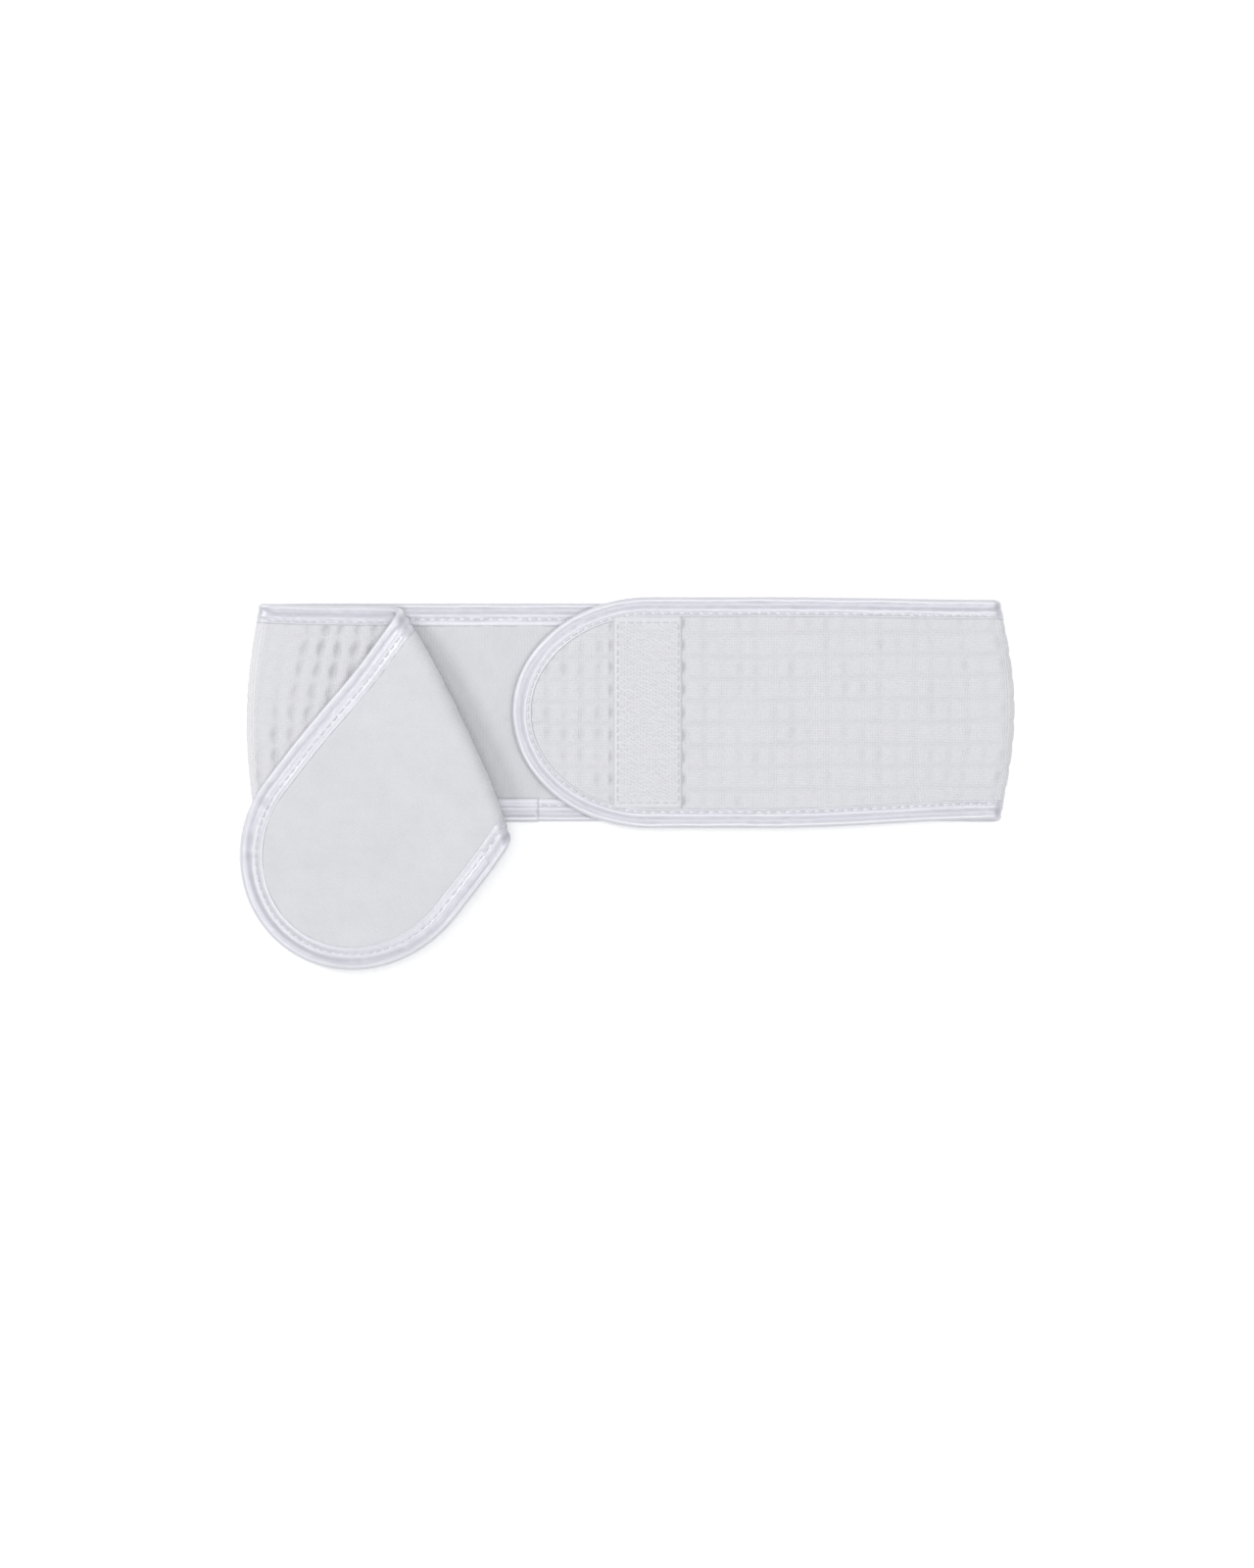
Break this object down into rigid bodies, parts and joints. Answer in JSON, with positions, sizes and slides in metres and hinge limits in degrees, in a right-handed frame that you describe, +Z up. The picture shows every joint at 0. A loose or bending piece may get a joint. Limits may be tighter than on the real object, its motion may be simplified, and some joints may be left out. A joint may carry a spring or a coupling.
{
  "type": "wrap-around headband",
  "caption": "Wide wrap-around waffle-cloth headband with satin-bound edges, brushed lining and a hook tape closure, stored folded.",
  "frame": {"origin": "on the surface it lies on, under the middle of the folded band's outer box", "axes": "+X along the back panel towards the right arm's fold, +Y across the band towards its upper edge, +Z up"},
  "size_m": [0.2821, 0.136, 0.0152],
  "materials": {
    "waffle_cloth": "matte",
    "brushed_lining": "matte",
    "satin_binding": "satin",
    "sewing_thread": "satin",
    "hook_tape": "matte"
  },
  "bodies": {
    "back_panel": {"back_binding_bottom": "satin_binding", "back_binding_top": "satin_binding", "back_bobbin_thread_bottom": "sewing_thread", "back_bobbin_thread_top": "sewing_thread", "back_cover": "waffle_cloth", "back_lining": "brushed_lining", "back_needle_thread_bottom": "sewing_thread", "back_needle_thread_top": "sewing_thread", "binding_join": "satin_binding", "left_fold_binding_bottom": "satin_binding", "left_fold_binding_top": "satin_binding", "left_fold_cover": "waffle_cloth", "left_fold_lining": "brushed_lining", "right_fold_binding_bottom": "satin_binding", "right_fold_binding_top": "satin_binding", "right_fold_cover": "waffle_cloth", "right_fold_lining": "brushed_lining"},
    "right_flap": {"hook_tape": "hook_tape", "hook_tape_thread": "sewing_thread", "right_binding": "satin_binding", "right_bobbin_thread": "sewing_thread", "right_cover": "waffle_cloth", "right_lining": "brushed_lining", "right_needle_thread": "sewing_thread"},
    "left_flap": {"left_binding_bottom": "satin_binding", "left_binding_top": "satin_binding", "left_bobbin_thread_bottom": "sewing_thread", "left_bobbin_thread_top": "sewing_thread", "left_cover": "waffle_cloth", "left_lining": "brushed_lining", "left_needle_thread_bottom": "sewing_thread", "left_needle_thread_top": "sewing_thread", "tip_fold_binding_bottom": "satin_binding", "tip_fold_binding_top": "satin_binding", "tip_fold_cover": "waffle_cloth", "tip_fold_lining": "brushed_lining"},
    "left_tip": {"tip_binding": "satin_binding", "tip_bobbin_thread": "sewing_thread", "tip_cover": "waffle_cloth", "tip_lining": "brushed_lining", "tip_needle_thread": "sewing_thread"}
  },
  "joints": [
    {"name": "right_fold", "type": "hinge", "parent": "back_panel", "child": "right_flap", "pos_m": [0.13785, 0.02597, 0.0032], "axis": [0, 1, 0], "range_deg": [0, 180], "deforming": ["right_fold_binding_bottom", "right_fold_binding_top", "right_fold_cover", "right_fold_lining"]},
    {"name": "left_fold", "type": "hinge", "parent": "back_panel", "child": "left_flap", "pos_m": [-0.13695, 0.02597, 0.0051], "axis": [-0.0227, -0.9997, 0], "range_deg": [0, 175], "deforming": ["left_fold_binding_bottom", "left_fold_binding_top", "left_fold_cover", "left_fold_lining"]},
    {"name": "tip_fold", "type": "hinge", "parent": "left_flap", "child": "left_tip", "pos_m": [-0.06222, 0.02257, 0.01082], "axis": [-0.433, 0.9011, -0.0238], "range_deg": [0, 180], "deforming": ["tip_fold_binding_bottom", "tip_fold_binding_top", "tip_fold_cover", "tip_fold_lining"]}
  ]
}
